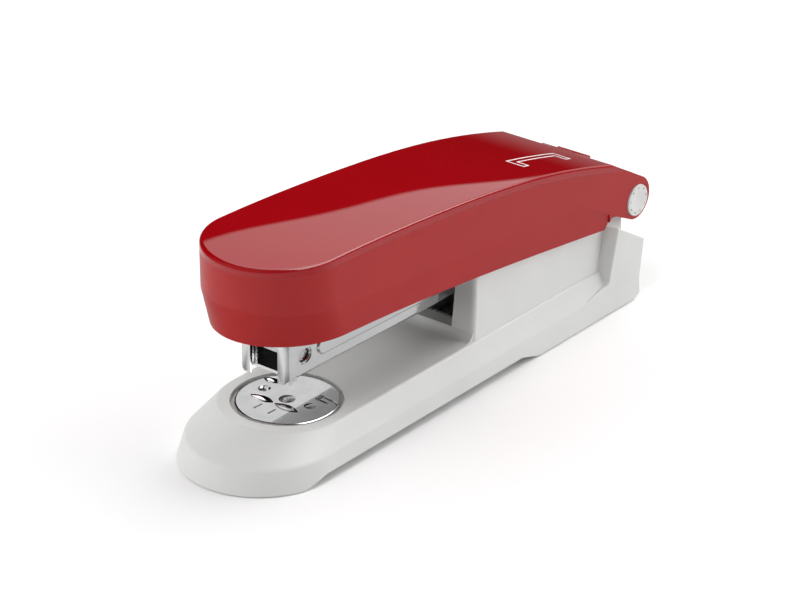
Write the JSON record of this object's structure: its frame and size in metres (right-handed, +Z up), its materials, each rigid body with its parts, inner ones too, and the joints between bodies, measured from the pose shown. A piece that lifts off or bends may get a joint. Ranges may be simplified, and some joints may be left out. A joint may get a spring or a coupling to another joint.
{
  "type": "stapler",
  "caption": "Full-strip desk stapler with a grey plastic base, a red gloss-topped cover, a plated steel magazine and a round turning anvil.",
  "frame": {"origin": "centre of the footprint box on the floor", "axes": "+X from the nose to the hinge along the length, +Y across the width, +Z up"},
  "size_m": [0.1624, 0.0432, 0.0581],
  "materials": {
    "grey_plastic": "fine satin",
    "red_satin": "satin",
    "red_gloss": "mirror gloss",
    "plated_steel": "bright nickel plating",
    "polished_steel": "polished",
    "zinc_steel": "zinc plated",
    "hardened_steel": "ground",
    "black_plastic": "satin",
    "cap_plastic": "satin",
    "button_plastic": "satin",
    "rubber": "matt",
    "spring_steel": "bright wire",
    "staple_wire": "galvanised wire"
  },
  "bodies": {
    "base": {"base_shell": "grey_plastic", "tower_shell": "grey_plastic", "base_frame": "zinc_steel", "base_screws": "zinc_steel", "front_foot_pad": "rubber", "rear_foot_pad": "rubber", "hinge_pin": "hardened_steel", "hinge_sleeve": "black_plastic", "magazine_lift_spring": "spring_steel"},
    "anvil_lifter": {"anvil_button": "button_plastic", "anvil_spring": "spring_steel"},
    "anvil": {"anvil_disc": "polished_steel", "anvil_rivet": "zinc_steel", "anvil_washer": "zinc_steel"},
    "magazine": {"magazine_channel": "plated_steel", "magazine_nose": "plated_steel", "magazine_bushes": "black_plastic", "staple_core": "zinc_steel", "core_pins": "plated_steel", "staple_strip": "staple_wire", "guide_rod": "hardened_steel", "rod_front_block": "black_plastic", "rod_end_stop": "black_plastic", "follower_spring": "spring_steel"},
    "follower": {"follower": "black_plastic"},
    "cover": {"cover_shell": "red_satin", "cover_top_panel": "red_gloss", "driver_arm": "zinc_steel", "driver_blade": "hardened_steel", "driver_rivets": "zinc_steel", "cover_screws": "zinc_steel", "cover_return_spring": "spring_steel", "hinge_cap_left": "cap_plastic", "hinge_cap_right": "cap_plastic"}
  },
  "joints": [
    {"name": "magazine_hinge", "type": "hinge", "parent": "base", "child": "magazine", "pos_m": [0.07537, 0, 0.0285], "axis": [0, 1, 0], "range_deg": [-3.9, 100], "stiffness_Nm_per_rad": 2, "deforming": ["magazine_lift_spring"]},
    {"name": "cover_hinge", "type": "hinge", "parent": "magazine", "child": "cover", "pos_m": [0.07537, 0, 0.0285], "axis": [0, 1, 0], "range_deg": [-3.6, 72], "stiffness_Nm_per_rad": 1.5, "deforming": ["cover_return_spring"]},
    {"name": "follower_slide", "type": "slide", "parent": "magazine", "child": "follower", "axis": [0.9999, 0, -0.0172], "range_m": [0, 0.048], "stiffness_N_per_m": 40, "springref_m": -0.1, "deforming": ["follower_spring"]},
    {"name": "anvil_lift", "type": "slide", "parent": "base", "child": "anvil_lifter", "axis": [0, 0, 1], "range_m": [0, 0.002], "stiffness_N_per_m": 300, "springref_m": -0.002, "deforming": ["anvil_spring"]},
    {"name": "anvil_turn", "type": "hinge", "parent": "anvil_lifter", "child": "anvil", "pos_m": [-0.04992, 0, 0.0121], "axis": [0, 0, 1], "range_deg": [0, 180]}
  ]
}
